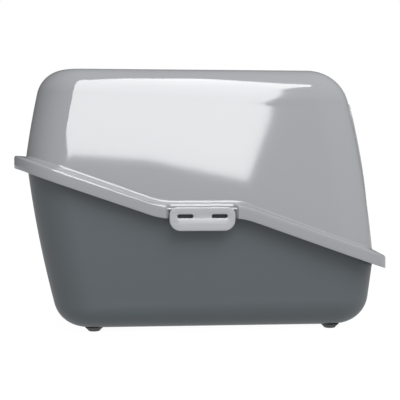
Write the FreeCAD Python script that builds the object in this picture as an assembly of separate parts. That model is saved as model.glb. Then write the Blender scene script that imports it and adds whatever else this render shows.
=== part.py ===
"""Hooded cat litter box: a deep tray with a high back, and a hood clipped onto its slanting rim.

+X is the front, where the doorway is, and +Z is up. The floor is z = 0 and the origin is the middle
of the base. All sizes are in millimetres.
"""
import FreeCAD, Part
import os
from math import atan, cos, degrees, pi, sin, sqrt, tan

Vector = FreeCAD.Vector
os.makedirs("parts", exist_ok=True)

# ---------------------------------------------------------------- driving dimensions
overall_length = 560.0
overall_width = 400.0
top_height_back = 392.3         # top of the hood over its back edge
top_height_front = 393.9        # and over its front edge

# the rim where hood and tray meet, seen from the side: level, down, level at the clips, down
rim_back_height = 263.2
rim_clip_height = 190.8
rim_front_height = 109.6
rim_back_level = 4.0           # length of the level stretch at the back
rim_bend_radius = 100.0
clip_centre_x = -6.7
rim_clip_level = 118.0          # length of the level stretch that carries the clip

# the flange: a flat ledge round the foot of the hood, with a skirt down over the tray rim
ledge_back = 15.9
ledge_front = 21.3
ledge_side = 18.0               # at the height of the clips
ledge_thickness = 3.0
skirt_height = 18.8
skirt_wall = 3.0
flange_corner = 80.0

# walls of hood and tray
hood_wall = 2.5
hood_corner = 68.0
hood_side_lean = 0.16           # inward run of the side walls for each unit of height
hood_back_lean = 0.122
hood_back_curl = 0.000424         # how fast the lean grows with height
hood_front_lean = 0.052
hood_front_curl = 0.000336
hood_edge_back = 46.0           # radius of the top edge
hood_edge_front = 65.0
tray_wall = 2.5
tray_corner = 62.0
tray_ledge_back = 17.6          # from the flange in to the tray's walls
tray_ledge_front = 17.3
tray_side_lean = 0.064
tray_back_lean = 0.1025
tray_back_curl = 0.00033
tray_front_lean = 0.114
tray_front_curl = 0.00003
tray_edge_back = 48.0           # radius between the walls and the base
tray_edge_front = 49.0

# feet
foot_height = 6.0
foot_top_radius = 14.0
foot_base_radius = 9.3
foot_back_inset = 116.5         # from the box's back end to the middle of a back foot
foot_front_inset = 85.2
foot_side_inset = 75.0
foot_pip_radius = 3.0
foot_pip_height = 1.2

# clips
clip_width = 94.4
clip_height = 34.0
clip_top_drop = 2.4             # from the ledge down to the clip's top edge
clip_thickness = 3.6
clip_top_radius = 10.0
clip_base_radius = 16.0
clip_pin_radius = 1.6
clip_pin_drop = 5.0             # from the ledge down to the clip's pivot
clip_pin_inset = 4.6            # from the flange's outer face in to the clip's pivot
slot_length = 22.8
slot_height = 5.6
slot_gap = 26.4                 # plain web between the two slots
pin_tip_margin = 0.8            # keeps the pins' tips clear of the tray's lip behind the notch walls
hook_width = 20.0
hook_thickness = 3.0
notch_depth = 9.0
notch_gap = 5.0                 # beside the clip, at the flange's outer face
notch_draft = 6.4               # how much nearer the notch's walls stand at its back
notch_floor_height = 9.0        # of the wall at the back of the notch, below the ledge
notch_wall_margin = 0.6         # kept on the notch's end walls where its back is open
clip_stand_out = 1.0            # of the clip's face beyond the skirt
clip_edge_radius = 1.2
hook_overlap = 1.6              # of the hook under the tray's lip

# doorway, its frame and the flap
door_width = 212.0
door_height = 186.0
door_sill_height = 148.0
door_corner = 14.0
frame_wall = 3.0
bezel_width = 9.0
bezel_thickness = 2.2
flap_plane_inset = 67.0         # from the box's front end back to the flap
flap_thickness = 2.4
flap_side_gap = 2.2
flap_pivot_drop = 12.0          # from the passage's top down to the pivot
flap_pin_radius = 2.5
flap_bead = 1.2                 # how far the stiffening bead round the flap stands out
flap_bead_width = 7.0
tunnel_behind_flap = 8.0

# handle and its pocket in the top
handle_pocket_x = 10.0
handle_pocket_length = 98.0
handle_pocket_width = 136.0
handle_pocket_depth = 32.0
handle_bar = 15.0
handle_height = 10.0
handle_sink = 1.5               # handle's top below the top of the hood
handle_end_gap = 2.0
handle_finger_gap = 22.0
handle_pin_radius = 3.0

# filter pocket, cover and pad
filter_pocket_x = -112.0
filter_pocket_length = 104.0
filter_pocket_width = 110.0
filter_pocket_depth = 16.0
cover_lip = 6.0                 # how far the cover overlaps the pocket's rim
cover_thickness = 3.0
pad_height = 10.0
vent_count = 7
vent_width = 4.0
vent_margin = 13.0              # from a slot's end to the pocket's wall
scoop_depth = 9.0               # finger scoop under the cover's front edge
scoop_half_width = 13.0
scoop_ahead = 7.0
scoop_behind = 9.0
pocket_wall = 2.5

# clearances
seat_gap = 0.3                  # between pieces of two bodies that rest on each other
fit_gap = 0.5                   # between the skirt and the tray rim
running_gap = 0.08              # round a pivot pin
snap_gap = 0.1                  # between pieces of one body

overall_height = max(top_height_back, top_height_front)
half_length = overall_length / 2
half_width = overall_width / 2
foot_rear_x = -half_length + foot_back_inset
foot_front_x = half_length - foot_front_inset
foot_y = half_width - foot_side_inset
flap_plane_x = half_length - flap_plane_inset
far = 3 * overall_length


# ---------------------------------------------------------------- shapes
def rounded_wire(corners, radii):
    """Closed wire through the corners of a flat polygon, each rounded by its own radius."""
    count = len(corners)
    starts, middles, ends = [], [], []
    for index, corner in enumerate(corners):
        to_last = (corners[index - 1] - corner).normalize()
        to_next = (corners[(index + 1) % count] - corner).normalize()
        half_angle = to_last.getAngle(to_next) / 2
        bisector = (to_last + to_next).normalize()
        reach = radii[index] / tan(half_angle)
        starts.append(corner + to_last * reach)
        ends.append(corner + to_next * reach)
        middles.append(corner + bisector * (radii[index] / sin(half_angle) - radii[index]))
    edges = []
    for index in range(count):
        if radii[index] > 0:
            edges.append(Part.Arc(starts[index], middles[index], ends[index]).toShape())
        edges.append(Part.makeLine(ends[index], starts[(index + 1) % count]))
    return Part.Wire(edges)


def prism(corners, radii, direction):
    """Solid swept from a rounded flat polygon along a vector."""
    return Part.Face(rounded_wire(corners, radii)).extrude(direction)


def plan_box(x_low, x_high, y_low, y_high, z_low, z_high, radius=0.0):
    """Upright block with rounded corners in plan."""
    corners = [Vector(x_low, y_low, z_low), Vector(x_high, y_low, z_low),
               Vector(x_high, y_high, z_low), Vector(x_low, y_high, z_low)]
    return prism(corners, [radius] * 4, Vector(0, 0, z_high - z_low))


def front_box(y_half, z_low, z_high, x_low, x_high, radius):
    """Block with rounded corners as seen from the front, centred on y = 0."""
    corners = [Vector(x_low, -y_half, z_low), Vector(x_low, y_half, z_low),
               Vector(x_low, y_half, z_high), Vector(x_low, -y_half, z_high)]
    return prism(corners, [radius] * 4, Vector(x_high - x_low, 0, 0))


def pin_along_y(x, y_low, y_high, z, radius):
    return Part.makeCylinder(radius, y_high - y_low, Vector(x, y_low, z), Vector(0, 1, 0))


def pin_along_x(x_low, x_high, y, z, radius):
    return Part.makeCylinder(radius, x_high - x_low, Vector(x_low, y, z), Vector(1, 0, 0))


def mirrored(shape):
    """The same shape on the other side of the box."""
    return shape.mirror(Vector(0, 0, 0), Vector(0, 1, 0))


# ---------------------------------------------------------------- the rim
clip_level_back = clip_centre_x - rim_clip_level / 2
clip_level_front = clip_centre_x + rim_clip_level / 2
front_slope = (rim_clip_height - rim_front_height) / (half_length - clip_level_front)


def under_rim(drop):
    """Everything below the rim line, lowered by drop, across the whole width."""
    side_view = [(-far, rim_back_height), (-half_length + rim_back_level, rim_back_height),
                 (clip_level_back, rim_clip_height), (clip_level_front, rim_clip_height),
                 (far, rim_clip_height - front_slope * (far - clip_level_front)),
                 (far, -far), (-far, -far)]
    corners = [Vector(x, -far, z - drop) for x, z in side_view]
    bends = [0, rim_bend_radius, rim_bend_radius, rim_bend_radius, 0, 0, 0]
    return prism(corners, bends, Vector(0, 2 * far, 0))


def band(upper_drop, lower_drop):
    """The slab between two copies of the rim line."""
    return under_rim(upper_drop).cut(under_rim(lower_drop))


def notch_block(depth, growth, low_z, high_z=overall_height):
    """Block that fills the left notch to a depth, its drafted walls moved apart by growth."""
    draft = notch_draft / notch_depth
    outer_half = clip_width / 2 + notch_gap + growth * sqrt(1 + draft ** 2)
    inner_half = outer_half - draft * depth
    beyond = notch_depth
    corners = [Vector(clip_centre_x - outer_half - draft * beyond, -half_width - beyond, low_z),
               Vector(clip_centre_x + outer_half + draft * beyond, -half_width - beyond, low_z),
               Vector(clip_centre_x + inner_half, -half_width + depth, low_z),
               Vector(clip_centre_x - inner_half, -half_width + depth, low_z)]
    return prism(corners, [0] * 4, Vector(0, 0, high_z - low_z))


def flange_plan(inset):
    """Upright block with the flange's plan, set in by inset, with a notch for each clip."""
    block = plan_box(-half_length + inset, half_length - inset, -half_width + inset, half_width - inset,
                     0, overall_height, flange_corner - inset)
    notch = notch_block(notch_depth + inset, inset, 0)
    return block.cut(notch).cut(mirrored(notch))


# ---------------------------------------------------------------- hood and tray forms
class Wall:
    """A wall's distance from the middle of the box at each height: a gentle curve."""

    def __init__(self, distance, height, lean, curl):
        self.distance, self.height, self.lean, self.curl = distance, height, lean, curl

    def at(self, z):
        rise = z - self.height
        return self.distance + self.lean * rise + self.curl * rise * abs(rise)

    def slope(self, z):
        return self.lean + 2 * self.curl * abs(z - self.height)


hood_back = Wall(half_length - ledge_back, rim_back_height, -hood_back_lean, -hood_back_curl)
hood_front = Wall(half_length - ledge_front, rim_front_height, -hood_front_lean, -hood_front_curl)
hood_side = Wall(half_width - ledge_side, rim_clip_height, -hood_side_lean, 0)
tray_back = Wall(half_length - tray_ledge_back, rim_back_height, tray_back_lean, tray_back_curl)
tray_front = Wall(half_length - tray_ledge_front, rim_front_height, tray_front_lean, tray_front_curl)
tray_side = Wall(half_width - ledge_side, rim_clip_height, tray_side_lean, 0)


def edge_start(wall, plane_z, radius, up):
    """Height and lean angle where a rounded edge leaves the wall."""
    centre_z = plane_z - up * radius
    z = centre_z
    for _ in range(8):
        lean = atan(abs(wall.slope(z)))
        z = centre_z + up * radius * sin(lean)
    return z, lean


def edge_point(wall, plane_z, radius, up, turn, inset):
    """Distance and height on the rounded edge: turn is 0 at the wall and 1 at the flat."""
    start_z, lean = edge_start(wall, plane_z, radius, up)
    angle = lean + turn * (pi / 2 - lean)
    distance = wall.at(start_z) - radius * cos(lean) + (radius - inset) * cos(angle)
    return distance, plane_z - up * radius + up * (radius - inset) * sin(angle)


def section(back_x, back_z, front_x, front_z, back_y, front_y, back_round, front_round):
    """Rounded four-sided outline through a tub's walls, on one plane that may slope to the front."""
    corners = [Vector(-back_x, -back_y, back_z), Vector(front_x, -front_y, front_z),
               Vector(front_x, front_y, front_z), Vector(-back_x, back_y, back_z)]
    return rounded_wire(corners, [back_round, front_round, front_round, back_round])


def form(walls, planes, edge_radii, corner, end_z, up, inset):
    """Solid between the walls from end_z to a flat face with rounded edges, set in by inset."""
    back, front, side = walls
    back_plane, front_plane = planes
    back_edge, front_edge = edge_radii
    back_start = edge_start(back, back_plane, back_edge, up)[0]
    front_start = edge_start(front, front_plane, front_edge, up)[0]
    wall_steps = 4
    wall_wires = []
    for step in range(wall_steps):
        share = step / wall_steps
        back_z = end_z + share * (back_start - end_z)
        front_z = end_z + share * (front_start - end_z)
        wall_wires.append(section(back.at(back_z) - inset, back_z, front.at(front_z) - inset, front_z,
                                  side.at(back_z) - inset, side.at(front_z) - inset,
                                  corner - inset, corner - inset))
    edge_steps = 6
    edge_wires = []
    for step in range(edge_steps + 1):
        turn = step / edge_steps
        back_x, back_z = edge_point(back, back_plane, back_edge, up, turn, inset)
        front_x, front_z = edge_point(front, front_plane, front_edge, up, turn, inset)
        back_y = edge_point(side, back_plane, back_edge, up, turn, inset)[0]
        front_y = edge_point(side, front_plane, front_edge, up, turn, inset)[0]
        edge_wires.append(section(back_x, back_z, front_x, front_z, back_y, front_y,
                                  corner + back_x - back.at(back_start),
                                  corner + front_x - front.at(front_start)))
    wall_loft = Part.makeLoft(wall_wires + edge_wires[:1], True, False, False, 3)
    edge_loft = Part.makeLoft(edge_wires, True, False, False, 3)
    return wall_loft.fuse(edge_loft)


def hood_form(inset):
    return form((hood_back, hood_front, hood_side), (top_height_back, top_height_front),
                (hood_edge_back, hood_edge_front), hood_corner, rim_front_height - 2 * skirt_height, 1, inset)


def tray_form(inset):
    return form((tray_back, tray_front, tray_side), (foot_height, foot_height),
                (tray_edge_back, tray_edge_front), tray_corner, rim_back_height + skirt_height, -1, inset)


# ---------------------------------------------------------------- the top's own frame
top_back_x = edge_point(hood_back, top_height_back, hood_edge_back, 1, 1, 0)[0]
top_front_x = edge_point(hood_front, top_height_front, hood_edge_front, 1, 1, 0)[0]
top_slope = (top_height_back - top_height_front) / (top_back_x + top_front_x)
top_middle_z = top_height_back - top_slope * top_back_x


def on_top(shape):
    """Place a shape drawn with z = 0 on the top face, which slopes a little to the front."""
    placed = shape.copy()
    placed.rotate(Vector(0, 0, 0), Vector(0, 1, 0), degrees(atan(top_slope)))
    placed.translate(Vector(0, 0, top_middle_z))
    return placed


def top_point(x, z):
    """Where a point of the top's frame lies in the box's frame."""
    angle = atan(top_slope)
    return x * cos(angle) + z * sin(angle), top_middle_z - x * sin(angle) + z * cos(angle)


def save(shape, name):
    solids = shape.removeSplitter()
    solids.exportStep("parts/" + name + ".step")
    box = solids.optimalBoundingBox(False, False)
    print(f"{name:20s} solids {len(solids.Solids)} valid {solids.isValid()} volume {solids.Volume / 1000:9.1f} cm3"
          f"  x {box.XMin:7.1f} {box.XMax:7.1f}  y {box.YMin:7.1f} {box.YMax:7.1f}  z {box.ZMin:6.1f} {box.ZMax:6.1f}")


# ---------------------------------------------------------------- tray and feet
def make_tray():
    """Deep tray with a flat rim that turns down into a lip all round."""
    rim_top = ledge_thickness + seat_gap
    inner = tray_form(tray_wall)
    shell = tray_form(0).common(under_rim(rim_top))
    rim_plan = flange_plan(skirt_wall + fit_gap)
    lip_plan = flange_plan(skirt_wall + fit_gap + tray_wall)
    rim = rim_plan.common(band(rim_top, skirt_height)).cut(lip_plan.common(under_rim(rim_top + tray_wall)))
    tray = shell.fuse(rim).cut(inner)
    for x in (foot_rear_x, foot_front_x):
        for y in (-foot_y, foot_y):
            socket = Part.makeCylinder(foot_pip_radius + snap_gap, foot_pip_height + snap_gap,
                                       Vector(x, y, foot_height))
            tray = tray.cut(socket)
    return tray


def make_foot(x, y):
    """Tapered rubber foot with a pip that seats in the underside of the tray."""
    cone = Part.makeCone(foot_base_radius, foot_top_radius, foot_height, Vector(x, y, 0))
    pip = Part.makeCylinder(foot_pip_radius, foot_height + foot_pip_height, Vector(x, y, 0))
    return cone.fuse(pip)


# ---------------------------------------------------------------- clips
clip_pin_y = -half_width + clip_pin_inset
clip_pin_z = rim_clip_height - clip_pin_drop
clip_low_x = clip_centre_x - clip_width / 2
clip_high_x = clip_centre_x + clip_width / 2
clip_top_z = rim_clip_height - clip_top_drop
clip_low_z = clip_top_z - clip_height
hook_top_z = rim_clip_height - skirt_height - seat_gap
slot_middle_z = hook_top_z + 1.0 + slot_height / 2
pin_reach = notch_gap - pin_tip_margin


def make_clip():
    """Side clip: a rounded plate with two slots, hinged at the top and hooked under the tray's lip."""
    outer_y = -half_width - clip_stand_out
    corners = [Vector(clip_low_x, outer_y, clip_low_z), Vector(clip_high_x, outer_y, clip_low_z),
               Vector(clip_high_x, outer_y, clip_top_z), Vector(clip_low_x, outer_y, clip_top_z)]
    radii = [clip_base_radius, clip_base_radius, clip_top_radius, clip_top_radius]
    clip = prism(corners, radii, Vector(0, clip_thickness, 0))
    rounded = [edge for edge in clip.Edges if edge.BoundBox.YMax < outer_y + 0.01]
    clip = clip.makeFillet(clip_edge_radius, rounded)
    lip_y = -half_width + notch_depth + skirt_wall + fit_gap
    for side in (-1, 1):
        middle_x = clip_centre_x + side * (slot_gap + slot_length) / 2
        slot_corners = [Vector(middle_x - slot_length / 2, outer_y - 1, slot_middle_z - slot_height / 2),
                        Vector(middle_x + slot_length / 2, outer_y - 1, slot_middle_z - slot_height / 2),
                        Vector(middle_x + slot_length / 2, outer_y - 1, slot_middle_z + slot_height / 2),
                        Vector(middle_x - slot_length / 2, outer_y - 1, slot_middle_z + slot_height / 2)]
        clip = clip.cut(prism(slot_corners, [slot_height * 0.49] * 4, Vector(0, clip_thickness + 2, 0)))
        hook = plan_box(middle_x - hook_width / 2, middle_x + hook_width / 2,
                        outer_y + clip_thickness / 2, lip_y + hook_overlap,
                        hook_top_z - hook_thickness, hook_top_z)
        clip = clip.fuse(hook)
    barrel_radius = clip_pin_radius + 1.2
    barrel = pin_along_x(clip_low_x + clip_top_radius, clip_high_x - clip_top_radius,
                         clip_pin_y, clip_pin_z, barrel_radius)
    pin = pin_along_x(clip_low_x - pin_reach, clip_high_x + pin_reach, clip_pin_y, clip_pin_z, clip_pin_radius)
    return clip.fuse(barrel).fuse(pin)


def clip_bearing_holes():
    """Holes in the notch's end walls for the clip's pins."""
    return pin_along_x(clip_low_x - pin_reach - fit_gap, clip_high_x + pin_reach + fit_gap,
                       clip_pin_y, clip_pin_z, clip_pin_radius + running_gap)


# ---------------------------------------------------------------- doorway frame and flap
door_top = door_sill_height + door_height
tunnel_half = door_width / 2 - snap_gap
tunnel_low = door_sill_height + snap_gap
tunnel_high = door_top - snap_gap
passage_half = tunnel_half - frame_wall
passage_low = tunnel_low + frame_wall
passage_high = tunnel_high - frame_wall
tunnel_back_x = flap_plane_x - tunnel_behind_flap
flap_pivot_z = passage_high - flap_pivot_drop


def make_door_frame():
    """Frame snapped into the doorway: a short tunnel with a bezel that lies on the hood's front."""
    tunnel = front_box(tunnel_half, tunnel_low, tunnel_high, tunnel_back_x, far, door_corner)
    tunnel = tunnel.common(hood_form(-bezel_thickness))
    bezel = front_box(tunnel_half + bezel_width, tunnel_low - bezel_width, tunnel_high + bezel_width,
                      tunnel_back_x, far, door_corner + bezel_width)
    bezel = bezel.common(hood_form(-bezel_thickness)).cut(hood_form(-snap_gap))
    passage = front_box(passage_half, passage_low, passage_high, 0, far, door_corner - frame_wall)
    frame = tunnel.fuse(bezel).cut(passage)
    boss_radius = flap_pin_radius + 3.0
    for side in (-1, 1):
        boss = pin_along_y(flap_plane_x, min(side * passage_half, side * (tunnel_half + 2.5)),
                           max(side * passage_half, side * (tunnel_half + 2.5)), flap_pivot_z, boss_radius)
        frame = frame.fuse(boss)
    hole = pin_along_y(flap_plane_x, -tunnel_half - 1.5, tunnel_half + 1.5, flap_pivot_z,
                       flap_pin_radius + running_gap)
    return frame.cut(hole)


def make_door_flap():
    """See-through flap with a bead round its edge, a grip at the bottom and two pivot stubs."""
    flap_half = passage_half - flap_side_gap
    flap_low = passage_low + 3.0
    flap_high = flap_pivot_z + 5.0
    corner = door_corner - frame_wall
    middle = flap_plane_x
    edge = front_box(flap_half, flap_low, flap_high, middle - flap_thickness / 2 - flap_bead,
                     middle + flap_thickness / 2 + flap_bead, corner)
    window = front_box(flap_half - flap_bead_width, flap_low + flap_bead_width, flap_high - flap_bead_width,
                       middle - far, middle + far, corner)
    pane = front_box(flap_half - 1, flap_low + 1, flap_high - 1, middle - flap_thickness / 2,
                     middle + flap_thickness / 2, corner - 1)
    flap = edge.cut(window).fuse(pane)
    grip = front_box(24, flap_low + 16, flap_low + 19, middle - 7, middle + 7, 1.2)
    pivot = pin_along_y(middle, -tunnel_half - 1.0, tunnel_half + 1.0, flap_pivot_z, flap_pin_radius)
    between = plan_box(middle - 9, middle + 9, -flap_half + 6, flap_half - 6, 0, overall_height)
    stubs = pivot.cut(between)
    return flap.fuse(grip).fuse(stubs)


# ---------------------------------------------------------------- handle
handle_half_width = handle_pocket_width / 2 - handle_end_gap
handle_pivot_x = handle_pocket_x - handle_pocket_length / 2 + handle_bar / 2 + 3.0
handle_pivot_z = -handle_sink - handle_height / 2
handle_front_x = handle_pocket_x + handle_pocket_length / 2 - handle_finger_gap
handle_pin_reach = handle_pocket_width / 2 + 4.0
rest_post = 8.0


def make_handle():
    """Folding handle drawn in the top's frame: two arms and a bar, lying flat in its pocket."""
    back_x = handle_pivot_x - handle_bar / 2
    low_z = -handle_sink - handle_height
    handle = plan_box(back_x, handle_front_x, -handle_half_width, handle_half_width, low_z, -handle_sink, 7.0)
    inside = plan_box(back_x - far, handle_front_x - handle_bar, -handle_half_width + handle_bar,
                      handle_half_width - handle_bar, low_z - 1, 0, 6.0)
    handle = handle.cut(inside)
    handle = handle.makeFillet(2.6, [edge for edge in handle.Edges
                                     if abs(edge.BoundBox.ZMax - edge.BoundBox.ZMin) < 0.01])
    pins = pin_along_y(handle_pivot_x, -handle_pin_reach, handle_pin_reach, handle_pivot_z, handle_pin_radius)
    middle = plan_box(handle_pivot_x - 9, handle_pivot_x + 9, -handle_half_width + handle_bar / 2,
                      handle_half_width - handle_bar / 2, -far, far)
    return handle.fuse(pins.cut(middle))


# ---------------------------------------------------------------- filter cover and pad
cover_length = filter_pocket_length + 2 * cover_lip
cover_width = filter_pocket_width + 2 * cover_lip
cover_back_x = filter_pocket_x - cover_length / 2
cover_front_x = filter_pocket_x + cover_length / 2
cover_top_z = -0.4
cover_pin_radius = 1.3
cover_pivot_z = cover_top_z - cover_thickness / 2
cover_pivot_x = cover_back_x + cover_thickness / 2
cover_pin_reach = cover_width / 2 + 3.0


def vent_slots(low_z, high_z):
    """A row of slots across the box, drawn in the top's frame."""
    length = filter_pocket_width - 2 * vent_margin
    pitch = (filter_pocket_length - 2 * cover_lip) / vent_count
    slots = []
    for index in range(vent_count):
        middle_x = filter_pocket_x + (index - (vent_count - 1) / 2) * pitch
        slots.append(plan_box(middle_x - vent_width / 2, middle_x + vent_width / 2, -length / 2, length / 2,
                              low_z, high_z, vent_width * 0.49))
    return slots


def make_filter_cover():
    """Slotted cover, flush with the top, hinged along its back edge."""
    low_z = cover_top_z - cover_thickness
    cover = plan_box(cover_pivot_x, cover_front_x, -cover_width / 2, cover_width / 2,
                     low_z, cover_top_z)
    bead = pin_along_y(cover_pivot_x, -cover_width / 2, cover_width / 2, cover_pivot_z, cover_thickness / 2)
    pins = pin_along_y(cover_pivot_x, -cover_pin_reach, cover_pin_reach, cover_pivot_z, cover_pin_radius)
    cover = cover.fuse(bead).fuse(pins)
    for slot in vent_slots(low_z - 1, 1):
        cover = cover.cut(slot)
    return cover


def make_charcoal_filter():
    """Charcoal pad lying on the pocket's slotted floor."""
    half_x = filter_pocket_length / 2 - 1.5
    half_y = filter_pocket_width / 2 - 1.5
    floor_z = -filter_pocket_depth
    return plan_box(filter_pocket_x - half_x, filter_pocket_x + half_x, -half_y, half_y,
                    floor_z + snap_gap, floor_z + pad_height, 5.0)


# ---------------------------------------------------------------- hood
def make_hood():
    """Hood shell with its ledge and skirt, doorway, clip notches, handle pocket and filter pocket."""
    outer = hood_form(0)
    inner = hood_form(hood_wall)
    flange = flange_plan(0).common(band(0, skirt_height))
    under_ledge = flange_plan(skirt_wall).common(under_rim(ledge_thickness))
    # the wall at the notch's back stops short of the tray's rim, so that the hooks can reach under it
    hook_way = notch_block(notch_depth + skirt_wall, -notch_wall_margin, 0,
                           rim_clip_height - notch_floor_height)

    handle_low = -handle_pocket_depth
    handle_half_x = handle_pocket_length / 2
    handle_half_y = handle_pocket_width / 2
    pockets = [on_top(plan_box(handle_pocket_x - handle_half_x - pocket_wall,
                               handle_pocket_x + handle_half_x + pocket_wall,
                               -handle_half_y - pocket_wall - 3, handle_half_y + pocket_wall + 3,
                               handle_low - pocket_wall, -0.5, 12.0)),
               on_top(plan_box(cover_back_x - pocket_wall - 1, cover_front_x + scoop_ahead + pocket_wall,
                               -cover_width / 2 - pocket_wall - 3, cover_width / 2 + pocket_wall + 3,
                               -filter_pocket_depth - pocket_wall, -0.5, 8.0))]
    hollows = [on_top(plan_box(handle_pocket_x - handle_half_x, handle_pocket_x + handle_half_x,
                               -handle_half_y, handle_half_y, handle_low, far, 9.0)),
               on_top(plan_box(filter_pocket_x - filter_pocket_length / 2,
                               filter_pocket_x + filter_pocket_length / 2,
                               -filter_pocket_width / 2, filter_pocket_width / 2,
                               -filter_pocket_depth, far, 6.0)),
               on_top(plan_box(cover_back_x - fit_gap, cover_front_x + fit_gap,
                               -cover_width / 2 - fit_gap, cover_width / 2 + fit_gap,
                               cover_top_z - cover_thickness - seat_gap, far, 0.4)),
               on_top(plan_box(cover_front_x - scoop_behind, cover_front_x + scoop_ahead,
                               -scoop_half_width, scoop_half_width, -scoop_depth, far, 6.0)),
               on_top(pin_along_y(handle_pivot_x, -handle_pin_reach - fit_gap, handle_pin_reach + fit_gap,
                                  handle_pivot_z, handle_pin_radius + running_gap)),
               on_top(pin_along_y(cover_pivot_x, -cover_pin_reach - fit_gap, cover_pin_reach + fit_gap,
                                  cover_pivot_z, cover_pin_radius + running_gap))]
    hollows += [on_top(slot) for slot in vent_slots(-filter_pocket_depth - 2 * pocket_wall, far)]
    doorway = front_box(door_width / 2, door_sill_height, door_top, flap_plane_x - 20, far, door_corner)

    hood = outer.cut(under_rim(0)).fuse(flange)
    hood = hood.cut(inner).cut(under_ledge)
    hood = hood.cut(doorway)
    hood = hood.multiFuse(pockets)
    for hollow in hollows:
        hood = hood.cut(hollow)
    hood = hood.cut(hook_way).cut(mirrored(hook_way))
    hood = hood.cut(clip_bearing_holes()).cut(mirrored(clip_bearing_holes()))
    posts = []
    for side in (-1, 1):
        arm_y = side * (handle_half_width - handle_bar / 2)
        posts.append(on_top(plan_box(handle_pocket_x - rest_post / 2, handle_pocket_x + rest_post / 2,
                                     arm_y - rest_post / 2, arm_y + rest_post / 2, handle_low - 0.5,
                                     -handle_sink - handle_height - seat_gap, 1.5)))
    return hood.multiFuse(posts)


# ---------------------------------------------------------------- pieces
save(make_tray(), "tray")
feet = {"foot_rear_left": (foot_rear_x, -foot_y), "foot_rear_right": (foot_rear_x, foot_y),
        "foot_front_left": (foot_front_x, -foot_y), "foot_front_right": (foot_front_x, foot_y)}
for foot_name, (foot_x, foot_side_y) in feet.items():
    save(make_foot(foot_x, foot_side_y), foot_name)
save(make_hood(), "hood")
save(make_door_frame(), "door_frame")
save(make_door_flap(), "door_flap")
left_clip = make_clip()
save(left_clip, "clip_left")
save(mirrored(left_clip), "clip_right")
save(on_top(make_handle()), "carry_handle")
save(on_top(make_filter_cover()), "filter_cover")
save(on_top(make_charcoal_filter()), "charcoal_filter")

handle_pivot = top_point(handle_pivot_x, handle_pivot_z)
cover_pivot = top_point(cover_pivot_x, cover_pivot_z)
print(f"flap pivot x {flap_plane_x:.2f} z {flap_pivot_z:.2f}")
print(f"clip pivot y {clip_pin_y:.2f} z {clip_pin_z:.2f}")
print(f"handle pivot x {handle_pivot[0]:.2f} z {handle_pivot[1]:.2f}")
print(f"cover pivot x {cover_pivot[0]:.2f} z {cover_pivot[1]:.2f}")
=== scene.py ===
# %% [markdown]
# # A hooded cat litter box, piece by piece
#
# The box is a deep dark tray with a high back, and a pale glossy hood that clips onto the tray's
# slanting rim. Its design comes packed as a frame: solid pieces, each on a body that can move. This
# script rebuilds the pieces that are seen as clean meshes in the same place, gives each a moulded
# plastic of its own, and lights them like a product on a white table.

# %% Load the frame
import bpy
import bmesh
from math import atan, cos, pi, radians, sin, tan
from mathutils import Matrix, Vector


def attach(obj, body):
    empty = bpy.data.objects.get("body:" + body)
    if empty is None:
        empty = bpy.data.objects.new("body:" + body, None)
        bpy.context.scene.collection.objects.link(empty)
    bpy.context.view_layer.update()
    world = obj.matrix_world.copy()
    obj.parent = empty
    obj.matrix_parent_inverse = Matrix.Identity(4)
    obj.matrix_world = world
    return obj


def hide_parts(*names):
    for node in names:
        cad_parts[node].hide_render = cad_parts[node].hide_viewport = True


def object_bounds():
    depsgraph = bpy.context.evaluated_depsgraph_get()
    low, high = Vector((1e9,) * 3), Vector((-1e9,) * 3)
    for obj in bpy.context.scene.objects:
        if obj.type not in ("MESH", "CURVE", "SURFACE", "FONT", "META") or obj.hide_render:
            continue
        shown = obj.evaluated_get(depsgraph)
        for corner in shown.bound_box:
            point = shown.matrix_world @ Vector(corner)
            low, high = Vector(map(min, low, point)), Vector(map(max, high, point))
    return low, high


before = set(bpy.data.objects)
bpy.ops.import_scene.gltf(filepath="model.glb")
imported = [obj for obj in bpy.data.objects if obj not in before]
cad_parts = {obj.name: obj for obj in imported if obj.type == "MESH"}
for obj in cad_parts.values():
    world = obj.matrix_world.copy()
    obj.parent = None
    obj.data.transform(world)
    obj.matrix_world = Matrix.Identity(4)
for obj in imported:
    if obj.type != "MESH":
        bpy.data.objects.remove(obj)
cad_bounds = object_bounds()
mm = 0.001
scene = bpy.context.scene

# %% [markdown]
# ## Camera
#
# A long lens from a metre and a half away, a little above the middle of the box and a little towards
# the back, shows the side of the box with hardly any perspective. The camera goes in first, so that
# every later step can be judged through it.

# %% Set up the camera
view_angle = radians(4.5)           # how far the camera stands towards the back
view_distance = 1.5
view_height = 0.25
camera_data = bpy.data.cameras.new("camera")
camera_data.lens = 82.2
camera_data.sensor_width = 36.0
camera_data.clip_end = 60.0
camera = bpy.data.objects.new("camera", camera_data)
scene.collection.objects.link(camera)
scene.camera = camera
camera.location = (-view_distance * sin(view_angle), -view_distance * cos(view_angle), view_height)
aim = Vector((0.00614, 0.0, 0.1908))
camera.rotation_euler = (aim - camera.location).to_track_quat("-Z", "Y").to_euler()
print("camera at", [round(v, 3) for v in camera.location])

# %% [markdown]
# ## Helpers for meshes
#
# Moulded plastic has no sharp edges, so most pieces here are stacks of outlines: one outline is drawn
# at many levels, a little smaller or larger each time, and neighbouring outlines are joined by quads.
# A rounded edge is then only a few outlines whose sizes follow a quarter circle.

# %% Join rings of points into a mesh
def make_object(name, vertices, faces):
    """A mesh object at the origin from plain lists of points and faces."""
    mesh = bpy.data.meshes.new(name)
    mesh.from_pydata([tuple(v) for v in vertices], [], faces)
    mesh.validate()
    piece = bpy.data.objects.new(name, mesh)
    scene.collection.objects.link(piece)
    return piece


def ring_faces(ring_count, ring_size):
    """Quads between neighbouring rings."""
    faces = []
    for level in range(ring_count - 1):
        here = level * ring_size
        above = here + ring_size
        for index in range(ring_size):
            after = (index + 1) % ring_size
            faces.append((here + index, here + after, above + after, above + index))
    return faces


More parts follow.
